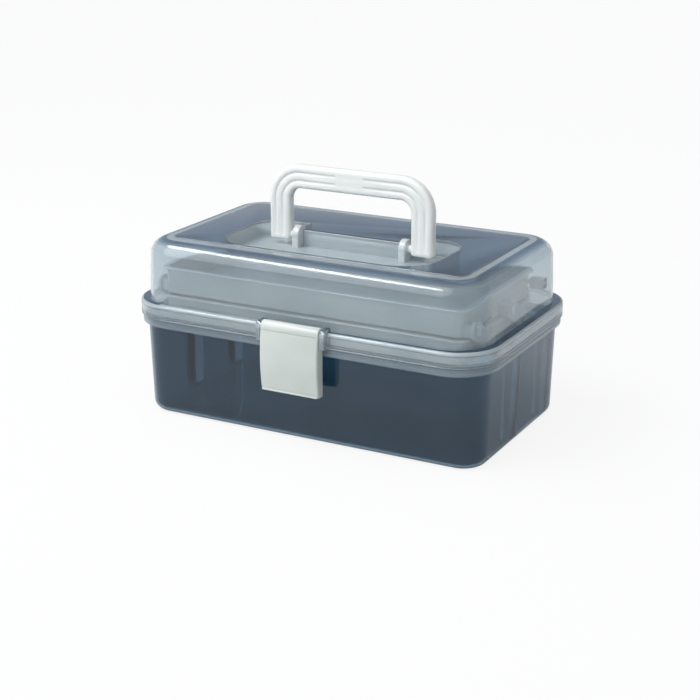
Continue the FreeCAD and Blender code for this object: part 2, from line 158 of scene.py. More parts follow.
# %% [markdown]
# The small features are blocks and round bars, as a toolmaker would mill and turn them.
# Both are a primitive that is scaled and moved in edit mode, so the piece itself stays at
# the origin. Scaling the object would be shorter, but would leave a scale on the piece.

# %% Blocks and bars
def span(side, near, far):
    """Lower and higher X of a stretch, on the left (-1) or the right (1) of the box."""
    return sorted((side * near, side * far))


def cuboid(name, x0, x1, y0, y1, z0, z1, edge=0.0):
    """Block between two corners, with all its edges rounded."""
    select_nothing()
    bpy.ops.mesh.primitive_cube_add(size=1)
    block = bpy.context.object
    block.name = name
    bpy.ops.object.mode_set(mode="EDIT")
    bpy.ops.transform.resize(value=((x1 - x0) * MM, (y1 - y0) * MM, (z1 - z0) * MM))
    bpy.ops.transform.translate(value=((x0 + x1) / 2 * MM, (y0 + y1) / 2 * MM,
                                       (z0 + z1) / 2 * MM))
    if edge:
        bpy.ops.mesh.select_all(action="SELECT")
        bpy.ops.mesh.bevel(offset=edge * MM, segments=3, affect="EDGES")
    bpy.ops.object.mode_set(mode="OBJECT")
    return block


def bar(name, x0, x1, y, z, radius, edge=0.0):
    """Round bar along X between two places, with rounded ends."""
    select_nothing()
    bpy.ops.mesh.primitive_cylinder_add(vertices=48, radius=radius * MM,
                                        depth=(x1 - x0) * MM)
    rod = bpy.context.object
    rod.name = name
    bpy.ops.object.mode_set(mode="EDIT")
    bpy.ops.transform.rotate(value=pi / 2, orient_axis="Y", orient_type="GLOBAL",
                             center_override=(0, 0, 0))
    bpy.ops.transform.translate(value=((x0 + x1) / 2 * MM, y * MM, z * MM))
    if edge:
        pick("FACE", lambda spot, item: len(item.verts) > 4)
        bpy.ops.mesh.bevel(offset=edge * MM, segments=3, affect="EDGES")
    bpy.ops.object.mode_set(mode="OBJECT")
    return rod


# %% [markdown]
# A mould maker adds steel and cuts it away, and the Boolean modifier does the same with
# bodies. The exact solver is slower than the fast one, but keeps the result closed where
# faces nearly touch. The second body is deleted once the modifier is applied.

# %% Joining, cutting and finishing
WELD = 0.005


def combine(piece, tool, operation):
    """Join, cut or keep the common part of two bodies, and drop the second."""
    change = piece.modifiers.new("combine", "BOOLEAN")
    change.operation = operation
    change.solver = "EXACT"
    change.object = tool
    only(piece)
    bpy.ops.object.modifier_apply(modifier=change.name)
    select_nothing()
    tool.select_set(True)
    bpy.ops.object.delete()
    return piece


def add(piece, *tools):
    for tool in tools:
        combine(piece, tool, "UNION")
    return piece


def cut(piece, *tools):
    for tool in tools:
        combine(piece, tool, "DIFFERENCE")
    return piece


def weld_points():
    """Merge points that lie on each other, in edit mode."""
    bpy.ops.mesh.select_all(action="SELECT")
    bpy.ops.mesh.remove_doubles(threshold=WELD * MM)


def finish(piece, name, degrees=32):
    """Weld the mesh, smooth its round faces, keep its real edges crisp and name it."""
    only(piece)
    bpy.ops.object.mode_set(mode="EDIT")
    weld_points()
    bpy.ops.object.mode_set(mode="OBJECT")
    bpy.ops.object.shade_smooth_by_angle(angle=radians(degrees))
    piece.name = name
    piece.data.calc_loop_triangles()
    print(name, "triangles", len(piece.data.loop_triangles))
    return piece


# %% [markdown]
# Rims and skirts go both ways from one outline: up to a round top edge and down to a
# round bottom edge. Each is two stepped bodies joined at that outline. The fine grooves
# round the rim and the skirt are rows of faces left between two heights and sunk by an
# inset, which follows the corners without any cutting body.

# %% Slabs with two round edges, and grooves
def two_way_body(name, half_x, front, rear, z, radius, up, below, corner_segments=14):
    """Body that rises from an outline by one list of steps and hangs below by another."""
    outline = (half_x, front, rear, z, (radius, radius))
    high = stepped_body(name, *outline, up, corner_segments)
    low = stepped_body(name, *outline, down(below), corner_segments)
    return add(high, low)


def grooved_slab(name, half_x, half_y, radius, heights, edges, grooves, border, depth):
    """Slab with rounded bottom and top edges, and a groove between each pair of levels."""
    z0, z1 = heights
    bottom_edge, top_edge = edges
    levels = [z0 + bottom_edge, *[z for groove in grooves for z in groove], z1 - top_edge]
    rises = [(0, high - low) for low, high in zip(levels, levels[1:])]
    slab = two_way_body(name, half_x, -half_y, half_y, levels[0], radius,
                        rises + round_over(top_edge, 4), round_over(bottom_edge, 3))
    only(slab)
    bpy.ops.object.mode_set(mode="EDIT")
    for low, high in grooves:
        count = pick("FACE", lambda spot, item: low < spot.z < high)
        bpy.ops.mesh.inset(thickness=border * MM, depth=-depth * MM)
        print(name, "groove", low, "to", high, "faces", count)
    bpy.ops.object.mode_set(mode="OBJECT")
    return slab


# %% [markdown]
# The base tub is one moulding of clear, tinted polypropylene: tapered walls, a rounded
# bottom edge, and a rim that turns out and hangs down as a lip. Walls, rim and inside are
# bodies from the same helpers, so all corners keep the radii of the solid model. A
# thickened sheet would be shorter, but the lip would cross itself at the corners.

# %% Base tub
BASE_TOP = 88.0
BASE_DRAFT = 0.031
WALL = 2.0
FLOOR_TOP = 2.2
FOOT_X, FOOT_Y, FOOT_CORNER = 156.5, 86.5, 24.5
FOOT_EDGE = 9
RIM_X, RIM_Y, RIM_CORNER = 163.6, 98.6, 36.6
RIM_LOW = 81.5
RIM_GROOVES = ((84.6, 85.5),)
LIP_ROOM_TOP = 85.8


def base_walls(z_top, z_low, inset, edge):
    """Tapered tub from its top down; inset sets it back from the outer skin."""
    growth = BASE_DRAFT * z_top - inset
    half_x = FOOT_X + growth
    half_y = FOOT_Y + growth
    radius = FOOT_CORNER - inset
    rise = z_top - z_low - edge
    steps = down(taper(BASE_DRAFT, rise, 4) + round_over(edge, 7))
    return stepped_body("base_walls", half_x, -half_y, half_y, z_top, (radius, radius), steps)


base = base_walls(BASE_TOP - 0.5, 0, 0, FOOT_EDGE)
rim = grooved_slab("rim", RIM_X, RIM_Y, RIM_CORNER, (RIM_LOW, BASE_TOP), (0.5, 0.8),
                   RIM_GROOVES, 0.12, 0.4)
lip_corner = RIM_CORNER - WALL
below = RIM_LOW - 1.5
lip_room = stepped_body("lip_room", RIM_X - WALL, WALL - RIM_Y, RIM_Y - WALL, below,
                        (lip_corner, lip_corner), [(0, LIP_ROOM_TOP - below)])
base = add(base, cut(rim, lip_room))
base = cut(base, base_walls(BASE_TOP + 1, FLOOR_TOP, WALL, FOOT_EDGE - WALL))
print("tub faces", len(base.data.polygons))

# %% [markdown]
# Each end wall of the base carries two upright posts for the arms. On the real box they
# are hollow ribs of the same moulding, so they are joined to the walls here. They start as
# plain blocks that run past the sloped wall, and are then trimmed to a body that lies a
# little inside the outer skin.

# %% Posts of the base
PIVOT_Y = (-14.1165, 51.8835)
POST_FACE = 146.428
POST_REACH = 11.6
POST_HALF = 8.5
POST_FOOT, POST_TOP = 1.2, 86
POST_EDGE = 3


def post(side, y):
    """Upright rib with rounded edges that stands on the floor against an end wall."""
    x0, x1 = span(side, POST_FACE, POST_FACE + POST_REACH)
    body = cuboid("post", x0, x1, y - POST_HALF, y + POST_HALF, POST_FOOT, POST_TOP)
    only(body)
    bpy.ops.object.mode_set(mode="EDIT")
    pick("EDGE", lambda spot, item: abs(abs(spot.x) - POST_FACE) < 0.1)
    bpy.ops.mesh.bevel(offset=POST_EDGE * MM, segments=5, affect="EDGES")
    bpy.ops.object.mode_set(mode="OBJECT")
    return body


posts = add(*[post(side, y) for side in (-1, 1) for y in PIVOT_Y])
combine(posts, base_walls(BASE_TOP - 0.2, 1, 1, FOOT_EDGE - 1), "INTERSECT")
base = add(base, posts)
print("tub and posts faces", len(base.data.polygons))

# %% [markdown]
# The hinges at the back are knuckles moulded on the base and on the lid, with one steel
# pin through each row. A knuckle is a round bar on a short web. The bores are tight where
# the pin is held and looser where a piece turns on it.

# %% Hinge knuckles of the base
HINGE_X, HINGE_Y = 95.0, 104.5
KNUCKLE_RADIUS = 4
KNUCKLE_NEAR, KNUCKLE_FAR = 10.9, 22
BASE_WEB = (97.6, 84, BASE_TOP)
PIN_HELD, PIN_FREE = 1.55, 1.6


def knuckle(x0, x1, web):
    """Hinge barrel, with a web that reaches to the wall between two heights."""
    web_front, web_low, web_high = web
    barrel = bar("barrel", x0, x1, HINGE_Y, BASE_TOP, KNUCKLE_RADIUS, 0.5)
    return add(barrel, cuboid("web", x0, x1, web_front, HINGE_Y, web_low, web_high, 0.3))


def pin_room(centre, half, y, z, radius):
    """Body that bores a hole for a pin along X."""
    return bar("pin_room", centre - half, centre + half, y, z, radius)


for centre in (-HINGE_X, HINGE_X):
    for low, high in ((-KNUCKLE_FAR, -KNUCKLE_NEAR), (KNUCKLE_NEAR, KNUCKLE_FAR)):
        base = add(base, knuckle(centre + low, centre + high, BASE_WEB))
    base = cut(base, pin_room(centre, KNUCKLE_FAR + 1, HINGE_Y, BASE_TOP, PIN_HELD))
base = finish(base, "base_moulding")

# %% [markdown]
# The lid is clear plastic too, but frosted. Its shell has tapered walls and a wide round
# shoulder, and its top is crowned by a thin raised panel. Below it a skirt with three fine
# grooves hangs over the rim of the base. The inside is the same body one wall smaller, so
# the wall stays even round the shoulder.

# %% Lid walls, panel and skirt
BOX_TOP = 154.0
LEDGE = 101.4
LID_DRAFT = 0.035
LID_TOP = 153.2
LID_ROOT = 99
LID_X, LID_Y, LID_CORNER = 156.5, 94.5, 33
SHOULDER = 14
PANEL_X, PANEL_Y, PANEL_CORNER = 135, 70, 8
PANEL_ROOT = 152
PANEL_EDGE = 0.6
SKIRT_X, SKIRT_Y, SKIRT_CORNER = 165, 100, 38
SKIRT_LOW = 88.4
SKIRT_GROOVES = ((89.6, 90.5), (92.0, 92.9), (98.2, 98.8))
SKIRT_ROOM_TOP = 99.4


def lid_walls(z_low, inset):
    """Lid from its walls up to its flat top; inset sets it back from the outer skin."""
    drop = LID_DRAFT * (z_low - LEDGE)
    half_x = LID_X - inset - drop
    half_y = LID_Y - inset - drop
    radius = LID_CORNER - inset
    shoulder = SHOULDER - inset
    rise = LID_TOP - inset - z_low - shoulder
    steps = taper(LID_DRAFT, rise, 3) + round_over(shoulder, 9)
    return stepped_body("lid_walls", half_x, -half_y, half_y, z_low, (radius, radius), steps)


panel_rise = BOX_TOP - PANEL_EDGE - PANEL_ROOT
panel = stepped_body("panel", PANEL_X, -PANEL_Y, PANEL_Y, PANEL_ROOT,
                     (PANEL_CORNER, PANEL_CORNER),
                     [(0, panel_rise)] + round_over(PANEL_EDGE, 4), 8)
lid = add(lid_walls(LID_ROOT, 0), panel)
skirt = grooved_slab("skirt", SKIRT_X, SKIRT_Y, SKIRT_CORNER, (SKIRT_LOW, LEDGE), (0.6, 2.0),
                     SKIRT_GROOVES, 0.16, 0.35)
room_corner = SKIRT_CORNER - WALL
below = SKIRT_LOW - 1.4
skirt_room = stepped_body("skirt_room", SKIRT_X - WALL, WALL - SKIRT_Y, SKIRT_Y - WALL,
                          below, (room_corner, room_corner), [(0, SKIRT_ROOM_TOP - below)])
lid = add(lid, cut(skirt, skirt_room))
print("lid faces", len(lid.data.polygons))

# %% [markdown]
# The handle folds down into a well in the top, which goes round an island that carries
# the handle. The well could be cut straight from the finished lid, but then it would have
# no wall under it. So the hollow inside of the lid gets a larger copy of the well taken
# out of it first, and the plastic between the two copies is the wall of the well.

# %% Handle well and hollow inside
WELL_FLOOR = 140
WELL_SLOPE = 6.0
WELL_FILLET = 2.5
WELL_MOUTH = 1.2
WELL_X, WELL_FRONT, WELL_REAR = 97, -66, 24
WELL_CORNERS = (34, 22)
EAR_FACE = 53.5
ISLAND_FRONT, ISLAND_REAR, ISLAND_LOW = 1, 36, 134


def well(grow, mouth):
    """Body of the well; grow is the wall round it and mouth the flare of its top edge."""
    wide = grow + mouth
    outline = (WELL_X + wide, WELL_FRONT - wide, WELL_REAR + wide)
    radii = [corner + wide for corner in WELL_CORNERS]
    height = BOX_TOP - mouth - (WELL_FLOOR - grow) - WELL_FILLET
    steps = down(round_in(mouth)) if mouth else []
    lean = (WELL_SLOPE - WELL_FILLET) / 2
    steps += down([(lean, height / 2)] * 2 + round_over(WELL_FILLET, 4))
    body = stepped_body("well", *outline, BOX_TOP, radii, steps)
    if mouth:
        # The cap carries the body past the lid's top, so the cut leaves no skin there.
        body = add(body, stepped_body("cap", *outline, BOX_TOP - 0.001, radii, [(0, 2)]))
    return body


def island(inset, z_top, edge=0):
    """Block between the handle legs that stays standing in the well."""
    steps = [(0, z_top - ISLAND_LOW - edge)] + (round_over(edge, 4) if edge else [])
    return stepped_body("island", EAR_FACE - inset, ISLAND_FRONT + inset, ISLAND_REAR,
                        ISLAND_LOW, (2.5, 2.5), steps, 6)


lid = cut(lid, cut(well(0, WELL_MOUTH), island(0, BOX_TOP, 0.9)))
room = cut(lid_walls(LID_ROOT - 1, WALL), cut(well(WALL, 0), island(WALL, BOX_TOP + 6)))
lid = cut(lid, room)
print("hollow lid faces", len(lid.data.polygons))

# %% [markdown]
# Two ears at the ends of the island hold the handle. Each is a disc on a foot, bored from
# the outside only, as on the real box, where the legs of the handle spring in. The foot is
# a hair narrower than the disc, because the solver likes no two faces in one plane.

# %% Ears for the handle
HANDLE_Z = 150.0
EAR_THICK = 6
EAR_RADIUS = 8
EAR_BORE_END = EAR_FACE - EAR_THICK + 1
TRUNNION_RADIUS = 3.6
HAIR = 0.05


def ear(side):
    """Ear at one end of the island, and the body of its bore."""
    x0, x1 = span(side, EAR_FACE - EAR_THICK, EAR_FACE)
    disc = bar("ear", x0, x1, 0, HANDLE_Z, EAR_RADIUS, 0.7)
    half = EAR_RADIUS - 0.1
    foot = cuboid("ear_foot", x0 + HAIR, x1 - HAIR, -half, half, WELL_FLOOR - 1,
                  HANDLE_Z - 0.7, 0.6)
    x0, x1 = span(side, EAR_BORE_END, EAR_FACE + 1.5)
    return add(disc, foot), bar("ear_bore", x0, x1, 0, HANDLE_Z, TRUNNION_RADIUS + 0.1)


# %% [markdown]
# The latch hangs in a bay cut out of the skirt, on a steel pin between two cheeks. A wall
# closes the bay at the back. Studs in two bosses of the lid drive the upper tray, and one
# wide knuckle at each hinge turns on the pin of the base.

# %% Latch bay, cheeks, bosses and lid knuckles
LATCH_PIN_Y, LATCH_PIN_Z = -101.0, 100.0
BAY_HALF, BAY_BACK = 26.7, -95.25
CHEEK_NEAR, CHEEK_FAR = 26.8, 31.3
CHEEK_RADIUS = 4.6
STUD_Y, STUD_Z = 50.5, 121
BOSS_FACE, BOSS_ROOT = 141.428, 154.6
BOSS_HALF = 4.2
LID_KNUCKLE = 10.5
LID_WEB = (99, SKIRT_LOW, 92)


def cheek(side):
    """Rounded cheek that carries one end of the latch pin."""
    x0, x1 = span(side, CHEEK_NEAR, CHEEK_FAR)
    reach = CHEEK_RADIUS - 0.15
    disc = bar("cheek", x0, x1, LATCH_PIN_Y, LATCH_PIN_Z, CHEEK_RADIUS, 0.6)
    back = cuboid("cheek_back", x0 + HAIR, x1 - HAIR, LATCH_PIN_Y - 0.3, BAY_BACK + 1.05,
                  SKIRT_LOW + 0.3, LATCH_PIN_Z + reach, 0.4)
    front = cuboid("cheek_front", x0 + 2 * HAIR, x1 - 2 * HAIR, LATCH_PIN_Y - reach,
                   LATCH_PIN_Y + 1.1, SKIRT_LOW + 0.4, LATCH_PIN_Z + HAIR, 0.4)
    return add(disc, back, front)


def link_boss(side):
    """Square boss inside the lid's end wall that takes a link stud."""
    x0, x1 = span(side, BOSS_FACE, BOSS_ROOT)
    return cuboid("link_boss", x0, x1, STUD_Y - BOSS_HALF, STUD_Y + BOSS_HALF,
                  STUD_Z - BOSS_HALF, STUD_Z + BOSS_HALF, 0.6)


lid = cut(lid, cuboid("bay", -BAY_HALF, BAY_HALF, -110, BAY_BACK, 86, LEDGE + 5))
wall_half = CHEEK_FAR - 0.1
wall_front = BAY_BACK + HAIR
lid = add(lid, cuboid("bay_wall", -wall_half, wall_half, wall_front, wall_front + WALL,
                      SKIRT_LOW + 0.2, LEDGE - 0.2, 0.3))
for side in (-1, 1):
    body, bore = ear(side)
    lid = cut(add(lid, body), bore)
    lid = add(lid, cheek(side), link_boss(side))
    centre = side * HINGE_X
    lid = add(lid, knuckle(centre - LID_KNUCKLE, centre + LID_KNUCKLE, LID_WEB))
    lid = cut(lid, pin_room(centre, LID_KNUCKLE + 1.5, HINGE_Y, BASE_TOP, PIN_FREE))
lid = cut(lid, pin_room(0, CHEEK_FAR - 1, LATCH_PIN_Y, LATCH_PIN_Z, PIN_HELD))
lid = finish(lid, "lid_moulding")

# %% [markdown]
# The carry handle is one white moulding with round edges and two soft flutes down its
# front, with a plain patch between them at the middle of the grip. A curve with a profile
# would sweep it too, but its flutes could not stop at the patch. So the section is drawn
# once at the left foot, raised, spun round the first corner, run along the top, spun again
# and brought down.

# %% Carry handle, swept from foot to foot
HANDLE_TOP = 211.0
HANDLE_X = 77.0
HANDLE_RADIUS = 30.0
GRIP = 20.0
GRIP_HALF = 5
GRIP_EDGE = 3.0
FOOT_Z = 145
FLUTES = ((4.8, 8.2), (11.6, 15.0))
FLUTE_START = 3.5
PATCH_HALF = 12.5
CORNER_X = HANDLE_X - HANDLE_RADIUS
CORNER_Z = HANDLE_TOP - HANDLE_RADIUS


def run(x, z):
    """Carry the selected faces on by a straight length."""
    bpy.ops.mesh.extrude_region_move(
        TRANSFORM_OT_translate={"value": (x * MM, 0, z * MM)})


def turn(x):
    """Carry the selected faces round a corner of the handle."""
    bpy.ops.mesh.spin(steps=14, angle=-pi / 2, center=(x * MM, 0, CORNER_Z * MM),
                      axis=(0, 1, 0))


select_nothing()
bpy.ops.mesh.primitive_plane_add(size=2)
handle = bpy.context.object
handle.name = "handle"
bpy.ops.object.mode_set(mode="EDIT")
bpy.ops.transform.resize(value=(GRIP / 2 * MM, GRIP_HALF * MM, 1))
bpy.ops.mesh.bevel(offset=GRIP_EDGE * MM, segments=5, affect="VERTICES")
bpy.ops.transform.translate(value=((GRIP / 2 - HANDLE_X) * MM, 0, FOOT_Z * MM))
for depth in [edge for flute in FLUTES for edge in flute]:
    bpy.ops.mesh.select_all(action="SELECT")
    bpy.ops.mesh.bisect(plane_co=((depth - HANDLE_X) * MM, 0, 0), plane_no=(1, 0, 0))
bpy.ops.mesh.select_mode(type="FACE")
bpy.ops.mesh.select_all(action="SELECT")
leg = CORNER_Z - FOOT_Z - FLUTE_START
beside_patch = CORNER_X - PATCH_HALF
run(0, FLUTE_START)
run(0, leg)
turn(-CORNER_X)
for length in (beside_patch, 2 * PATCH_HALF, beside_patch):
    run(length, 0)
turn(CORNER_X)
run(0, -leg)
run(0, -FLUTE_START)
weld_points()
bpy.ops.mesh.normals_make_consistent(inside=False)
print("swept handle faces", len(bmesh.from_edit_mesh(handle.data).faces))

# %% [markdown]
# The feet get round edges, and the flutes are sunk by three insets, each a little deeper,
# which gives them soft sides. Their faces are found by how far they lie from the outer
# edge of the handle, a measure that works on the legs, the corners and the grip alike.

# %% Feet, flutes and trunnions of the handle
def depth_in_grip(spot):
    """Distance of a point from the outer edge of the handle."""
    if spot.z < CORNER_Z:
        return HANDLE_X - abs(spot.x)
    if abs(spot.x) < CORNER_X:
        return HANDLE_TOP - spot.z
    reach = ((abs(spot.x) - CORNER_X) ** 2 + (spot.z - CORNER_Z) ** 2) ** 0.5
    return HANDLE_RADIUS - reach


FOOT_ROUNDING = 2.2
FLUTE_STEPS = ((0.35, 0.15), (0.5, 0.45), (0.5, 0.2))


def is_foot_edge(spot, edge):
    """True for the edges round the two foot faces."""
    at_foot = spot.z < FOOT_Z + 0.01
    return at_foot and any(abs(face.normal.z) < 0.5 for face in edge.link_faces)


def is_flute(spot, face):
    """True for the front faces between the two sides of a flute, outside the patch."""
    depth = depth_in_grip(spot)
    inside = any(low < depth < high for low, high in FLUTES)
    plain = abs(spot.x) < PATCH_HALF and spot.z > CORNER_Z
    in_front = spot.y < 0.1 - GRIP_HALF and spot.z > FOOT_Z + FLUTE_START - 0.5
    return inside and in_front and not plain


print("foot edges", pick("EDGE", is_foot_edge))
bpy.ops.mesh.bevel(offset=FOOT_ROUNDING * MM, segments=4, affect="EDGES")
print("flute faces", pick("FACE", is_flute))
for border, depth in FLUTE_STEPS:
    bpy.ops.mesh.inset(thickness=border * MM, depth=-depth * MM)
bpy.ops.object.mode_set(mode="OBJECT")
for side in (-1, 1):
    x0, x1 = span(side, EAR_BORE_END + 0.4, HANDLE_X - GRIP + 1)
    handle = add(handle, bar("trunnion", x0, x1, 0, HANDLE_Z, TRUNNION_RADIUS, 0.3))
handle = finish(handle, "handle_moulding", 40)

# %% [markdown]
# The latch is a curved white plate with side flanges. A thin sheet could be bent and given
# a wall by Solidify, but its flanges would cross the plate at the corners and leave the
# mesh open. So a block is raised in rows that follow the curve, its outer corners are
# rounded, and a second block of the same curve, one wall smaller, hollows it from behind.

# %% Curved block of the latch
LATCH_HALF = 26.5
LATCH_FOOT = 47.5
LATCH_WALL = 2.2
LATCH_CURVE = ((100.0, -106.5), (76.375, -108.5), (47.5, -106.0))
LATCH_ROWS = 14
LATCH_EDGE = 1.6
FLANGE_REAR = -98.95


def latch_y(z):
    """Front curve of the latch: a flat arc through three places of the solid."""
    total = 0.0
    for here, y in LATCH_CURVE:
        weight = 1.0
        for other, _ in LATCH_CURVE:
            if other != here:
                weight *= (z - other) / (here - other)
        total += y * weight
    return total


def latch_body(name, half_x, wall, z_low, z_high, y_rear):
    """Block with the curved front of the latch; wall sets it back from the outside."""
    select_nothing()
    bpy.ops.mesh.primitive_plane_add(size=2)
    block = bpy.context.object
    block.name = name
    bpy.ops.object.mode_set(mode="EDIT")
    front = latch_y(z_low) + wall
    bpy.ops.transform.resize(value=(half_x * MM, (y_rear - front) / 2 * MM, 1))
    bpy.ops.transform.translate(value=(0, (y_rear + front) / 2 * MM, z_low * MM))
    bpy.ops.mesh.select_mode(type="FACE")
    heights = [z_low + (z_high - z_low) * row / LATCH_ROWS for row in range(LATCH_ROWS + 1)]
    bpy.ops.mesh.select_all(action="SELECT")
    for low, high in zip(heights, heights[1:]):
        if low > z_low:
            pick("FACE", lambda spot, item: spot.z > low - 0.1 and abs(item.normal.z) > 0.5)
        run(0, high - low)
        pick("VERT", lambda spot, item: spot.z > high - 0.1 and spot.y < -103)
        bpy.ops.transform.translate(value=(0, (latch_y(high) - latch_y(low)) * MM, 0))
    bpy.ops.mesh.select_all(action="SELECT")
    bpy.ops.mesh.normals_make_consistent(inside=False)
    bpy.ops.object.mode_set(mode="OBJECT")
    return block


def is_latch_corner(spot, edge):
    """True for the outer edges at the two sides and the foot of the curved front."""
    at_front = abs(spot.y - latch_y(spot.z)) < 0.3 and spot.z < LATCH_PIN_Z - 0.1
    return at_front and (abs(spot.x) > LATCH_HALF - 0.1 or spot.z < LATCH_FOOT + 0.1)


latch = latch_body("latch", LATCH_HALF, 0, LATCH_FOOT, LATCH_PIN_Z, FLANGE_REAR)
only(latch)
bpy.ops.object.mode_set(mode="EDIT")
print("latch corner edges", pick("EDGE", is_latch_corner))
bpy.ops.mesh.bevel(offset=LATCH_EDGE * MM, segments=4, affect="EDGES")
bpy.ops.object.mode_set(mode="OBJECT")

# %% [markdown]
# Behind the plate the latch has a barrel that turns on the steel pin, and a rib that snaps
# under the rim of the base. A fine step crosses it near the top, and its foot ends in a
# small lip for the fingers. All are joined to the block or cut from it, as in the mould.

# %% Hollow, barrel, rib, lip and step of the latch
BARREL_RADIUS = 5.42
# Blocks as left, right, front, rear, low and high.
CATCH_RIB = (-20, 20, -107.3, FLANGE_REAR, 77.3, 80.3)
FINGER_LIP = (-25.5, 25.5, -107.0, -104.5, 47.45, 48.9)
STEP_LINE = (-25, 25, -108, -106.15, 98.3, 98.9)

hollow = latch_body("hollow", LATCH_HALF - LATCH_WALL, LATCH_WALL, LATCH_FOOT + LATCH_WALL,
                    LATCH_PIN_Z + 1.5, -95)
latch = cut(latch, hollow)
barrel = bar("latch_barrel", 0.1 - LATCH_HALF, LATCH_HALF - 0.1, LATCH_PIN_Y, LATCH_PIN_Z,
             BARREL_RADIUS, 0.8)
latch = add(latch, barrel)
latch = add(latch, cuboid("catch_rib", *CATCH_RIB, 0.5))
latch = cut(latch, pin_room(0, LATCH_HALF + 1.5, LATCH_PIN_Y, LATCH_PIN_Z, PIN_FREE))
latch = add(latch, cuboid("finger_lip", *FINGER_LIP, 0.4))
latch = cut(latch, cuboid("step_line", *STEP_LINE, 0.15))
latch = finish(latch, "latch_moulding", 38)

# %% [markdown]
# The two trays are thin open mouldings. Each has a rim turned outwards, which is what
# shows through the lid as bright lines, and a pad with a bore at each of its four arms. A
# sheet with Solidify would be thinner work, but could not carry pads on its outside only.
# So a tray is a rounded block with a wider ring on top, hollowed by a smaller block.

# %% Lower and upper tray
TRAY_X = 137.128
TRAY_FRONT = -77.5165
TRAY_DEPTH = 23.0
TRAY_CORNER = 6
TRAY_WALL = 1.6
TRAY_RIM_EDGE = 0.8
TRAY_FOOT_EDGE = 2
RIM_SIDE, RIM_FRONT = 4, 3
ARM_SPACING = 66.0
PAD_ROOT, PAD_FACE = 136.3, 142.828
PAD_HALF = 5.5
BORE_HALF = 1.64
STUD_ROOM = 1.9
LOWER_TRAY_BOTTOM, UPPER_TRAY_BOTTOM = 82.0, 106.5


def tray(name, bottom, rear, first_pivot, pivot_z):
    """Open tray between its bottom and rim, with a pad for each of its four pivots."""
    top = bottom + TRAY_DEPTH
    body = two_way_body(name, TRAY_X, TRAY_FRONT, rear, bottom + TRAY_FOOT_EDGE, TRAY_CORNER,
                        [(0, TRAY_DEPTH - TRAY_RIM_EDGE - TRAY_FOOT_EDGE)],
                        round_over(TRAY_FOOT_EDGE, 4), 8)
    rim_edge = round_over(TRAY_RIM_EDGE, 4)
    rim = two_way_body("rim", TRAY_X + RIM_SIDE, TRAY_FRONT - RIM_FRONT, rear + RIM_FRONT,
                       top - TRAY_RIM_EDGE, TRAY_CORNER + RIM_FRONT, rim_edge, rim_edge, 8)
    body = add(body, rim)
    pivots = (first_pivot, first_pivot + ARM_SPACING)
    low = max(pivot_z - PAD_HALF, bottom + 0.3)
    for side in (-1, 1):
        x0, x1 = span(side, PAD_ROOT, PAD_FACE)
        for y in pivots:
            body = add(body, cuboid("pad", x0, x1, y - PAD_HALF, y + PAD_HALF, low,
                                    pivot_z + PAD_HALF, 0.8))
    room_corner = TRAY_CORNER - TRAY_WALL
    room = stepped_body("room", TRAY_X - TRAY_WALL, TRAY_FRONT + TRAY_WALL, rear - TRAY_WALL,
                        top + 1, (room_corner, room_corner),
                        down([(0, TRAY_DEPTH - 2.1)] + round_over(1.5, 4)), 8)
    body = cut(body, room)
    for y in pivots:
        for side in (-1, 1):
            x0, x1 = span(side, 135, 144)
            body = cut(body, cuboid("bore", x0, x1, y - BORE_HALF, y + BORE_HALF,
                                    pivot_z - BORE_HALF, pivot_z + BORE_HALF))
    return finish(body, name)


lower_tray = tray("lower_tray_moulding", LOWER_TRAY_BOTTOM, rear=55.528,
                  first_pivot=-41.1165, pivot_z=95.5)
upper_tray = tray("upper_tray_moulding", UPPER_TRAY_BOTTOM, rear=59.9,
                  first_pivot=-68.1165, pivot_z=112.0)
for side in (1, -1):
    x0, x1 = span(side, 134, 139)
    upper_tray = cut(upper_tray, bar("stud_room", x0, x1, STUD_Y, STUD_Z, STUD_ROOM))
upper_tray = finish(upper_tray, "upper_tray_moulding")

# %% [markdown]
# Materials start from the real stuff, and their colours are the hex values that a screen
# shows. Cycles counts in linear light, so one function turns them. Nodes could be placed
# in the editor by hand. Here one small function adds a node with its settings and links,
# and each pattern gets its scale from a real size in millimetres.

# %% Colour and node helpers
def linear(code):
    """Linear colour of an sRGB hex code."""
    channels = [int(code[i:i + 2], 16) / 255 for i in (0, 2, 4)]
    return [c / 12.92 if c <= 0.04045 else ((c + 0.055) / 1.055) ** 2.4
            for c in channels] + [1.0]


def put(tree, kind, settings=None, links=None):
    """Add a node, set its properties or sockets, and link sockets to sources."""
    made = tree.nodes.new(kind)
    for name, value in (settings or {}).items():
        if isinstance(name, int) or name in made.inputs:
            made.inputs[name].default_value = value
        else:
            setattr(made, name, value)
    for name, source in (links or {}).items():
        tree.links.new(source, made.inputs[name])
    return made


def start_material(name):
    material = bpy.data.materials.new(name)
    material.use_nodes = True
    material.node_tree.nodes.clear()
    return material, material.node_tree


def flow_waves(tree, wave_mm, depth_mm):
    """Bump of a moulded skin: the slow waves that cooling leaves in a wall."""
    place = put(tree, "ShaderNodeTexCoord")
    waves = put(tree, "ShaderNodeTexNoise", {"Scale": 1 / (wave_mm * MM), "Detail": 1.0},
                {"Vector": place.outputs["Object"]})
    return put(tree, "ShaderNodeBump", {"Strength": 1.0, "Distance": depth_mm * MM},
               {"Height": waves.outputs["Fac"]})


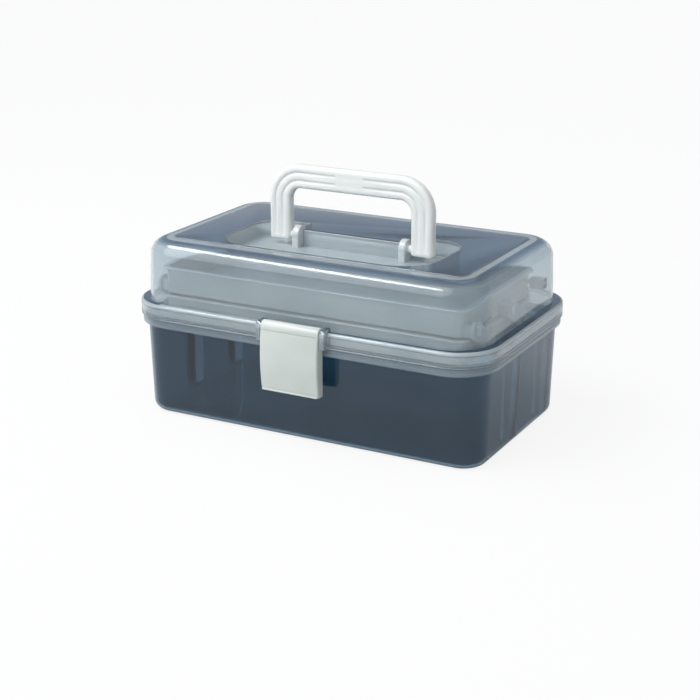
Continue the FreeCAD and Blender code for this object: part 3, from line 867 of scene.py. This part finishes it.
def clouded(tree, light, deep, cloud_mm):
    """Two close tints in soft clouds, as colour mixes in a mould."""
    place = put(tree, "ShaderNodeTexCoord")
    clouds = put(tree, "ShaderNodeTexNoise", {"Scale": 1 / (cloud_mm * MM), "Detail": 3.0},
                 {"Vector": place.outputs["Object"]})
    tint = put(tree, "ShaderNodeValToRGB", links={"Fac": clouds.outputs["Fac"]})
    for stop, position, code in zip(tint.color_ramp.elements, (0.35, 0.65), (light, deep)):
        stop.position = position
        stop.color = linear(code)
    return tint.outputs["Color"]


print("mid grey in linear light", linear("808080"))

# %% [markdown]
# All the clear parts are polypropylene. It bends light by 1.49, as typical, and its
# crystals scatter a little of it, so none is as clear as glass. A glass shader and a white
# one could be mixed for that. One Principled shader does it with its transmission: the
# share it lets through is clear, and the rest is milky. Ears and bosses are solid lumps
# that scatter more, so they get a finish of their own. Rims, posts, skirt edges, the well,
# the skirt band and the panel step get paler finishes too. That is painted light, for the
# pale bands and bright lines that light draws there. The level top of the lid looks deeper
# than its walls, because the shaded inside of the box shows through it at a slant, so
# level faces take a deeper tint: painted shade. It follows how a face lies and not where
# the camera stands.

# %% Clear, frosted and milky polypropylene
POLYPROPYLENE_IOR = 1.49


def clear_plastic(name, light, deep, clearness, roughness, gloss, cloud_mm=60, level=None):
    """Moulded polypropylene that lets light through; level is a painted shade tint for level
    faces.
    """
    material, tree = start_material(name)
    colour = clouded(tree, light, deep, cloud_mm)
    bump = flow_waves(tree, wave_mm=28, depth_mm=0.10)
    if level:
        # Faces steeper than about 41 degrees keep the tint of the walls; level faces take the
        # painted shade.
        facing = put(tree, "ShaderNodeNewGeometry")
        split = put(tree, "ShaderNodeSeparateXYZ", links={0: facing.outputs["True Normal"]})
        upright = put(tree, "ShaderNodeMath", {"operation": "ABSOLUTE"}, {0: split.outputs[2]})
        share = put(tree, "ShaderNodeMapRange", {"From Min": 0.75, "From Max": 0.99},
                    {"Value": upright.outputs[0]})
        colour = put(tree, "ShaderNodeMix", {"data_type": "RGBA", 7: linear(level)},
                     {0: share.outputs[0], 6: colour}).outputs[2]
    skin = put(tree, "ShaderNodeBsdfPrincipled",
               {"Roughness": roughness, "IOR": POLYPROPYLENE_IOR,
                "Transmission Weight": clearness, "Specular IOR Level": gloss},
               {"Base Color": colour, "Normal": bump.outputs["Normal"]})
    put(tree, "ShaderNodeOutputMaterial", links={"Surface": skin.outputs["BSDF"]})
    return material


# Tinted tub, moulded against polished steel: dark and deep, with almost no milk. Its gloss
# is turned down, because a full one mirrors the bright paper and washes the dark out.
base_clear = clear_plastic("polypropylene_slate_clear", "647d8f", "5b7586",
                           clearness=0.97, roughness=0.04, gloss=0.02)
# The rim of the tub is folded, and its many faces scatter the light, so it looks pale; its
# pale tint paints that light.
base_rim_painted_light = clear_plastic("polypropylene_slate_rim_painted_light", "b6c5ce", "abbbc6",
                           clearness=0.70, roughness=0.14, gloss=0.4)
# The posts stand off the wall and send light back through it, so they show as pale
# stripes; their pale tint paints that light.
base_post_painted_light = clear_plastic("polypropylene_slate_post_painted_light", "e8f0f4", "dfe8ed",
                          clearness=0.95, roughness=0.10, gloss=0.5)
# The lid has a faint haze: clear enough to show the trays, and soft enough to blur them.
# Its level faces take the deeper tint 6a86a2, which is painted shade.
lid_clear_painted_top_shade = clear_plastic("polypropylene_clear_painted_top_shade", "e0eaef", "d7e2e8",
                          clearness=0.86, roughness=0.05, gloss=0.12, level="6a86a2")
# Bands of the lid where two walls lie close, round the panel and the skirt: more haze.
# Its paler tint is painted light: a pale band on the skirt and a painted highlight along
# the panel step.
lid_band_painted_light = clear_plastic("polypropylene_band_painted_light", "e0eaee", "d5e0e5",
                         clearness=0.74, roughness=0.10, gloss=0.5)
# Ledge, skirt edge and handle well, which the eye meets at a slant: frosted and paler,
# which is painted light for their bright edge lines and the pale well.
lid_frosted_painted_light = clear_plastic("polypropylene_frosted", "e0eaee", "d5e0e5",
                          clearness=0.60, roughness=0.14, gloss=0.5)
# Ears and bosses are solid lumps and nearly white.
lid_milky = clear_plastic("polypropylene_frosted_ear", "e6ecee", "dce4e7",
                          clearness=0.35, roughness=0.20, gloss=0.5, cloud_mm=20)
# Trays are natural polypropylene without clearing agent: milky, with a trace of light.
tray_milky = clear_plastic("polypropylene_milky", "e6eae8", "dee2df",
                           clearness=0.12, roughness=0.22, gloss=0.5, cloud_mm=40)
# Tray rims are turned out and glossy, so they catch the light as thin bright lines; their
# whiter tint adds a painted highlight to that.
tray_rim_painted_highlight = clear_plastic("polypropylene_milky_rim_painted_highlight", "eceeed", "e6e9e7",
                         clearness=0.05, roughness=0.10, gloss=1.0, cloud_mm=40)
# Arms are flat plates of the same stuff with a duller skin.
arm_milky = clear_plastic("polypropylene_arm", "e8ecea", "e0e4e1",
                          clearness=0.12, roughness=0.25, gloss=0.5, cloud_mm=30)
print("clear and milky plastics", [item.name for item in bpy.data.materials
                                   if item.name.startswith("polypropylene")])

# %% [markdown]
# The handle and the latch are the same plastic, filled with white pigment, so light enters
# only a little way and blurs the shade at their edges. A plain diffuse colour would look
# like chalk, so they get a weak subsurface layer. The latch is a shade greyer: painted
# shade, for the dimmer light that falls on its face.

# %% White polypropylene
def white_plastic(name, light, shade, roughness, depth):
    """Opaque moulded plastic with a slight change of tone."""
    material, tree = start_material(name)
    colour = clouded(tree, light, shade, cloud_mm=35)
    bump = flow_waves(tree, wave_mm=22, depth_mm=depth)
    skin = put(tree, "ShaderNodeBsdfPrincipled",
               {"Roughness": roughness, "IOR": POLYPROPYLENE_IOR, "Subsurface Weight": 0.12,
                "Subsurface Radius": (1.0, 0.9, 0.8), "Subsurface Scale": 2 * MM},
               {"Base Color": colour, "Normal": bump.outputs["Normal"]})
    put(tree, "ShaderNodeOutputMaterial", links={"Surface": skin.outputs["BSDF"]})
    return material


# Glossy moulded handle: broad soft lights along its flutes.
handle_white = white_plastic("polypropylene_white", "e4e7e6", "dee2e1",
                             roughness=0.22, depth=0.05)
# Satin moulded latch: one even tone with soft edges, greyer than the handle as painted shade.
latch_white_painted_shade = white_plastic("polypropylene_white_latch_painted_shade", "c2c9c5", "bbc2bf",
                            roughness=0.26, depth=0.05)
# Small moulded rivets and studs: satin dots on the arms.
rivet_white = white_plastic("polypropylene_rivet", "eceeed", "e2e6e4",
                            roughness=0.32, depth=0.04)
print("white plastics", handle_white.name, latch_white_painted_shade.name, rivet_white.name)

# %% [markdown]
# The hinge and latch pins are cut from steel wire that was drawn through a die, so fine
# scratches run along it. A picture of scratches could be wrapped round, but noise that is
# stretched along X needs no unwrapping.

# %% Drawn steel wire
def drawn_steel(name):
    """Steel wire with scratches along X, which make its lights long and thin."""
    material, tree = start_material(name)
    place = put(tree, "ShaderNodeTexCoord")
    along = put(tree, "ShaderNodeMapping", {"Scale": (0.05, 1, 1)},
                {"Vector": place.outputs["Object"]})
    # Real scratches are some hundredths of a millimetre apart. They are drawn 0.25 mm
    # apart, so that they show.
    lines = put(tree, "ShaderNodeTexNoise", {"Scale": 1 / (0.25 * MM), "Detail": 3.0},
                {"Vector": along.outputs["Vector"]})
    bump = put(tree, "ShaderNodeBump", {"Strength": 0.5, "Distance": 0.01 * MM},
               {"Height": lines.outputs["Fac"]})
    skin = put(tree, "ShaderNodeBsdfPrincipled",
               {"Base Color": linear("b9bcbd"), "Metallic": 1.0, "Roughness": 0.32},
               {"Normal": bump.outputs["Normal"]})
    put(tree, "ShaderNodeOutputMaterial", links={"Surface": skin.outputs["BSDF"]})
    return material


pin_steel = drawn_steel("steel_drawn_wire")
print("metal", pin_steel.name)

# %% [markdown]
# A thick rim is the same moulding as the wall beside it, so it is not a piece of its own:
# its faces get a finish of their own, and so do other bands of faces. Most of these paler
# finishes are painted light. They could be painted by hand, but a test on the middle of
# each face finds them again after any change of the shape.

# %% Tests that find the thick parts and the faces of painted light
RIM_ROOT = (159.3, 89.3, 24.8)
SKIN_DEPTH = 2.2


def reach_past(spot, half_x, half_y, radius):
    """How far a point lies outside a rounded outline."""
    x = abs(spot.x) - (half_x - radius)
    y = abs(spot.y) - (half_y - radius)
    corner = (max(x, 0) ** 2 + max(y, 0) ** 2) ** 0.5
    return corner + min(max(x, y), 0) - radius


def in_base_rim(spot, face):
    return spot.z > RIM_LOW - 0.3 and reach_past(spot, *RIM_ROOT) > -SKIN_DEPTH


def in_post(spot, face):
    near = min(abs(spot.y - y) for y in PIVOT_Y) < POST_HALF + 0.2
    beside = POST_FACE - 0.2 < abs(spot.x) < FOOT_X - 0.2
    return near and beside and FLOOR_TOP + 0.3 < spot.z < POST_TOP + 0.5


def in_skirt_edge(spot, face):
    outside = reach_past(spot, LID_X, LID_Y, LID_CORNER) > -SKIN_DEPTH
    at_ledge = SKIRT_ROOM_TOP - 0.5 < spot.z < LEDGE + 0.1
    return outside and (at_ledge or spot.z < SKIRT_LOW + 0.9)


def in_skirt_band(spot, face):
    """True for the skirt between its second and third groove."""
    outside = reach_past(spot, LID_X, LID_Y, LID_CORNER) > -SKIN_DEPTH
    return outside and SKIRT_GROOVES[1][1] + 0.1 < spot.z < SKIRT_GROOVES[2][0] - 0.1


def in_well(spot, face):
    """True for the sides and the floor of the well, and for the wall round it inside."""
    ceiling = abs(face.normal.z) > 0.95 and spot.z > WELL_FLOOR + 1
    across = abs(spot.x) < WELL_X + 4 and WELL_FRONT - 3.8 < spot.y < WELL_REAR + 4
    upright = WELL_FLOOR - WALL - 0.5 < spot.z < BOX_TOP - 0.05
    return across and upright and not ceiling


def in_ear(spot, face):
    across = EAR_FACE - EAR_THICK - 0.5 < abs(spot.x) < EAR_FACE + 0.5
    return across and abs(spot.y) < EAR_RADIUS + 0.5 and spot.z > WELL_FLOOR + 0.2


def in_panel_step(spot, face):
    """True for the flat round the raised panel and for the panel's side."""
    ring = 153.1 < spot.z < 153.3 and face.normal.z > 0.9
    beside = -0.4 < reach_past(spot, PANEL_X, PANEL_Y, PANEL_CORNER) < 0.1
    return ring or (153.1 < spot.z < BOX_TOP and beside)


def in_tray_rim(spot, face):
    tops = (LOWER_TRAY_BOTTOM + TRAY_DEPTH, UPPER_TRAY_BOTTOM + TRAY_DEPTH)
    return any(top - 2 * TRAY_RIM_EDGE < spot.z < top + 0.1 for top in tops)


def in_boss(spot, face):
    past_face = abs(spot.x) > BOSS_FACE - 0.4
    level = abs(spot.z - STUD_Z) < BOSS_HALF + 0.8
    return past_face and level and abs(spot.y - STUD_Y) < BOSS_HALF + 0.3


# %% [markdown]
# Now each modelled piece takes its material, rides with its body and takes the place of
# its solid. The pins, rivets, studs and arms are already right as solids, so they keep
# their meshes and only get their material, by name.

# %% Dress the pieces
def dress(piece, material):
    piece.data.materials.clear()
    piece.data.materials.append(material)


def dress_faces(piece, material, *tests):
    """Give the faces whose middle passes a test a finish of their own."""
    only(piece)
    piece.data.materials.append(material)
    piece.active_material_index = len(piece.data.materials) - 1
    bpy.ops.object.mode_set(mode="EDIT")
    for test in tests:
        count = pick("FACE", test)
        bpy.ops.object.material_slot_assign()
        print(piece.name, material.name, count, "faces")
    bpy.ops.object.mode_set(mode="OBJECT")


for piece, body, node, slot, material in (
        (base, "base", "base_tub", "base_plastic", base_clear),
        (lid, "lid", "lid_shell", "lid_plastic", lid_clear_painted_top_shade),
        (lower_tray, "lower_tray", "lower_tray", "tray_plastic", tray_milky),
        (upper_tray, "upper_tray", "upper_tray", "tray_plastic", tray_milky),
        (handle, "carry_handle", "carry_handle", "white_plastic", handle_white),
        (latch, "front_latch", "front_latch", "white_plastic", latch_white_painted_shade)):
    dress(piece, material)
    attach(piece, body)
    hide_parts(node)
# The paler finishes of the tub rim, the posts, the skirt edges, the well, the skirt band, the
# panel step and the tray rims are painted light.
dress_faces(base, base_rim_painted_light, in_base_rim)
dress_faces(base, base_post_painted_light, in_post)
dress_faces(lid, lid_frosted_painted_light, in_skirt_edge, in_well)
dress_faces(lid, lid_band_painted_light, in_skirt_band, in_panel_step)
dress_faces(lid, lid_milky, in_ear, in_boss)
dress_faces(lower_tray, tray_rim_painted_highlight, in_tray_rim)
dress_faces(upper_tray, tray_rim_painted_highlight, in_tray_rim)

for name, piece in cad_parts.items():
    if "pin" in name:
        dress(piece, pin_steel)
    elif "rivet" in name or "stud" in name:
        dress(piece, rivet_white)
    elif "arm" in name:
        dress(piece, arm_milky)
    elif "tray" in name:
        dress(piece, tray_milky)

# %% [markdown]
# The studio is plain: a sheet of pale paper and a soft pale sky. Clear plastic shows
# whatever stands behind it, so the background counts as much as the lamps. Rays from the
# camera and rays that pass through the plastic see it bright, and all other rays see a
# dimmer room. A shiny face sees only a part of the bright background, because the plastic
# of the real box mirrors a darker room than the white behind it.

# %% Floor
GLOSS_SHARE = 0.22
FLOOR_GAP = 0.3


def seen_share(tree, share):
    """How much of the bright background a ray sees: a gloss sees a part of it."""
    rays = put(tree, "ShaderNodeLightPath")
    gloss = put(tree, "ShaderNodeMath", {"operation": "MULTIPLY", 1: GLOSS_SHARE},
                {0: rays.outputs["Is Glossy Ray"]})
    direct = put(tree, "ShaderNodeMath", {"operation": "MAXIMUM"},
                 {0: rays.outputs["Is Camera Ray"], 1: rays.outputs["Is Transmission Ray"]})
    seen = put(tree, "ShaderNodeMath", {"operation": "MAXIMUM"},
               {0: direct.outputs[0], 1: gloss.outputs[0]})
    return put(tree, "ShaderNodeMath", {"operation": "MULTIPLY", 1: share},
               {0: seen.outputs[0]}).outputs[0]


select_nothing()
bpy.ops.mesh.primitive_plane_add(size=12)
floor = bpy.context.object
floor.name = "floor"
bpy.ops.object.mode_set(mode="EDIT")
bpy.ops.transform.translate(value=(0, 0, -FLOOR_GAP * MM))
bpy.ops.object.mode_set(mode="OBJECT")
# Matt coated paper: an even pale grey that keeps a soft shadow.
material, tree = start_material("studio_floor")
paper = put(tree, "ShaderNodeBsdfDiffuse", {"Color": linear("d8dadc")})
glow = put(tree, "ShaderNodeEmission", {"Color": (1, 1, 1, 1), "Strength": 1.0})
blend = put(tree, "ShaderNodeMixShader",
            links={0: seen_share(tree, 0.88),
                   1: paper.outputs[0], 2: glow.outputs[0]})
put(tree, "ShaderNodeOutputMaterial", links={"Surface": blend.outputs[0]})
dress(floor, material)
print("floor", floor.name, "material", material.name)

# %% [markdown]
# A plain white world would light the box evenly, but its top would lose all depth. So the
# light of the sky grows with height, and the sky that is seen fades from near white at the
# horizon to a soft grey above, which the shoulder of the lid shows through its wall.

# %% Sky
world = bpy.data.worlds.new("soft_sky")
bpy.context.scene.world = world
world.use_nodes = True
sky = world.node_tree
sky.nodes.clear()
place = put(sky, "ShaderNodeTexCoord")
height = put(sky, "ShaderNodeSeparateXYZ", links={0: place.outputs["Generated"]})
rise = put(sky, "ShaderNodeMapRange",
           {"From Min": 0.2, "From Max": 0.8, "To Min": 0.32, "To Max": 0.62},
           {"Value": height.outputs[2]})
plain = put(sky, "ShaderNodeBackground", {"Color": (1, 1, 1, 1)}, {"Strength": rise.outputs[0]})
fade = put(sky, "ShaderNodeValToRGB", links={"Fac": height.outputs[2]})
for stop, position, code in zip(fade.color_ramp.elements, (0.12, 0.34), ("fafbfb", "aeb7be")):
    stop.position = position
    stop.color = linear(code)
pale = put(sky, "ShaderNodeBackground", {"Strength": 1.0}, {"Color": fade.outputs["Color"]})
blend = put(sky, "ShaderNodeMixShader",
            links={0: seen_share(sky, 1.0),
                   1: plain.outputs[0], 2: pale.outputs[0]})
put(sky, "ShaderNodeOutputWorld", links={"Surface": blend.outputs[0]})
print("sky nodes", len(sky.nodes))

# %% [markdown]
# Three lamps do the rest. A narrow strip high on the left draws the long bright line on
# the shoulder of the lid. A broad window from the front left models the forms, and a weak
# fill from the right keeps the end wall readable. The last two are suns with a wide angle,
# because a large window far away is simpler to set as a direction than as a place.

# %% Lamps
lamp = bpy.data.lights.new("overhead_strip", "AREA")
lamp.shape = "RECTANGLE"
lamp.size = 1.3
lamp.size_y = 0.22
lamp.energy = 12.5
strip = bpy.data.objects.new("overhead_strip", lamp)
strip.location = (-0.7, -0.5, 1.35)
strip.rotation_euler = (-strip.location).to_track_quat("-Z", "Y").to_euler()
bpy.context.collection.objects.link(strip)

for name, power, source in (("window_light", 1.6, (-0.35, -0.65, 0.68)),
                            ("fill_light", 0.32, (0.85, -0.25, 0.45))):
    lamp = bpy.data.lights.new(name, "SUN")
    lamp.energy = power
    lamp.angle = radians(60)
    window = bpy.data.objects.new(name, lamp)
    window.rotation_euler = Vector(source).to_track_quat("Z", "Y").to_euler()
    bpy.context.collection.objects.link(window)
print("lamps", [item.name for item in bpy.data.lights])

# %% [markdown]
# The camera stands where the photograph was taken, found by fitting the corners of the
# box: 28 degrees to the right of the front, 18 degrees up, 1.34 metres away. It looks at a
# point inside the box, and two small shifts of the lens then place the box in the picture
# without turning the view.

# %% Camera
view = bpy.data.cameras.new("camera")
view.sensor_width = 36
view.lens = 80.73
view.shift_x = -0.00208
view.shift_y = -0.0342
camera = bpy.data.objects.new("camera", view)
camera.location = (0.6018, -1.1308, 0.4823)
aim = Vector((0, 0, 0.075)) - camera.location
camera.rotation_euler = aim.to_track_quat("-Z", "Y").to_euler()
bpy.context.collection.objects.link(camera)
bpy.context.scene.camera = camera
bpy.context.scene.view_settings.view_transform = "Standard"
print("camera distance", round(aim.length, 3), "m")
